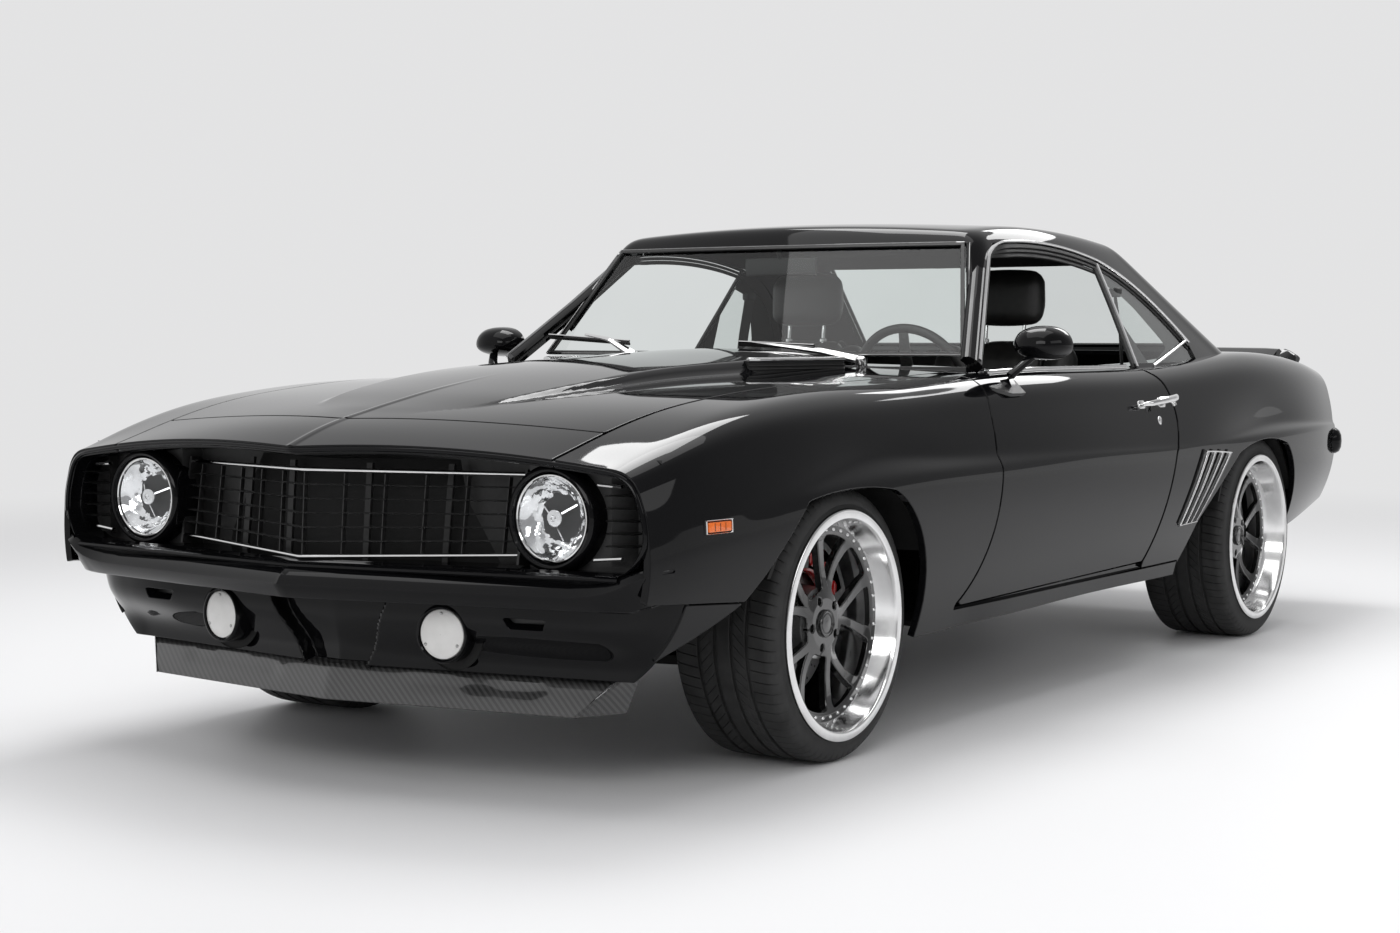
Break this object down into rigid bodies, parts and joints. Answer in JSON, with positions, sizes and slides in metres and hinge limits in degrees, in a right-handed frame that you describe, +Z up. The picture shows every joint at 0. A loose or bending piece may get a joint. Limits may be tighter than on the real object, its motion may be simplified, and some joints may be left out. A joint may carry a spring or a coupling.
{
  "type": "two-door muscle car",
  "caption": "Low two-door coupe with a long hood, V-shaped nose, flared wheel arches, ducktail spoiler, opening doors, hood and trunk, and steered front wheels.",
  "frame": {"origin": "on the ground under the middle of the car's bounding box", "axes": "+Z up, +Y towards the tail, +X to the car's left"},
  "size_m": [1.984, 4.722, 1.3393],
  "materials": {
    "body_paint": "gloss black",
    "floor_black": "satin black",
    "frame_black": "satin black",
    "grille_black": "gloss black",
    "lamp_glass": "clear",
    "carbon": "woven carbon",
    "red_lens": "clear red",
    "window_glass": "tinted",
    "interior_plastic": "grained",
    "interior_leather": "satin",
    "engine_iron": "cast",
    "trim_chrome": "polished",
    "exhaust_steel": "brushed",
    "rim_black": "gloss black with polished lip",
    "tyre_rubber": "matt"
  },
  "bodies": {
    "body": {"floor_pan": "floor_black", "rear_wheelhouses": "floor_black", "sills": "body_paint", "subframe": "frame_black", "cowl_panel": "body_paint", "roof_panel": "body_paint", "quarter_left": "body_paint", "quarter_right": "body_paint", "fender_left": "body_paint", "fender_right": "body_paint", "nose_panel": "body_paint", "grille": "grille_black", "headlamps": "lamp_glass", "road_lamps": "lamp_glass", "bumper_front": "body_paint", "valance_front": "body_paint", "splitter": "carbon", "tail_panel": "body_paint", "tail_lamps": "red_lens", "bumper_rear": "body_paint", "windshield": "window_glass", "rear_window": "window_glass", "quarter_windows": "window_glass", "dashboard": "interior_plastic", "steering_wheel": "interior_leather", "front_seats": "interior_leather", "rear_seat": "interior_leather", "engine_block": "engine_iron", "rear_axle": "frame_black", "wipers": "trim_chrome", "exhaust": "exhaust_steel"},
    "hood": {"hood": "body_paint"},
    "trunk_lid": {"trunk_lid": "body_paint", "spoiler": "body_paint"},
    "door_left": {"door_left": "body_paint", "mirror_left": "body_paint"},
    "knuckle_left": {"knuckle_left": "frame_black"},
    "wheel_front_left": {"rim_front_left": "rim_black", "tyre_front_left": "tyre_rubber"},
    "wheel_rear_left": {"rim_rear_left": "rim_black", "tyre_rear_left": "tyre_rubber"},
    "door_right": {"door_right": "body_paint", "mirror_right": "body_paint"},
    "knuckle_right": {"knuckle_right": "frame_black"},
    "wheel_front_right": {"rim_front_right": "rim_black", "tyre_front_right": "tyre_rubber"},
    "wheel_rear_right": {"rim_rear_right": "rim_black", "tyre_rear_right": "tyre_rubber"}
  },
  "joints": [
    {"name": "steer_left", "type": "hinge", "parent": "body", "child": "knuckle_left", "pos_m": [0.64, -1.365, 0.325], "axis": [0, 0, 1], "range_deg": [-32, 32]},
    {"name": "spin_front_left", "type": "hinge", "parent": "knuckle_left", "child": "wheel_front_left", "pos_m": [0.72, -1.365, 0.325], "axis": [1, 0, 0], "continuous": true},
    {"name": "spin_rear_left", "type": "hinge", "parent": "body", "child": "wheel_rear_left", "pos_m": [0.74, 1.378, 0.333], "axis": [1, 0, 0], "continuous": true},
    {"name": "door_left_open", "type": "hinge", "parent": "body", "child": "door_left", "pos_m": [0.924, -0.836, 0.6], "axis": [0, 0, -1], "range_deg": [0, 65]},
    {"name": "steer_right", "type": "hinge", "parent": "body", "child": "knuckle_right", "pos_m": [-0.64, -1.365, 0.325], "axis": [0, 0, 1], "range_deg": [-32, 32]},
    {"name": "spin_front_right", "type": "hinge", "parent": "knuckle_right", "child": "wheel_front_right", "pos_m": [-0.72, -1.365, 0.325], "axis": [1, 0, 0], "continuous": true},
    {"name": "spin_rear_right", "type": "hinge", "parent": "body", "child": "wheel_rear_right", "pos_m": [-0.74, 1.378, 0.333], "axis": [1, 0, 0], "continuous": true},
    {"name": "door_right_open", "type": "hinge", "parent": "body", "child": "door_right", "pos_m": [-0.924, -0.836, 0.6], "axis": [0, 0, 1], "range_deg": [0, 65]},
    {"name": "hood_open", "type": "hinge", "parent": "body", "child": "hood", "pos_m": [0, -0.534, 0.928], "axis": [-1, 0, 0], "range_deg": [0, 48]},
    {"name": "trunk_open", "type": "hinge", "parent": "body", "child": "trunk_lid", "pos_m": [0, 1.585, 0.9465], "axis": [1, 0, 0], "range_deg": [0, 70]}
  ],
  "couplings": [
    {"joint": "steer_right", "follows": "steer_left", "ratio": 1}
  ]
}
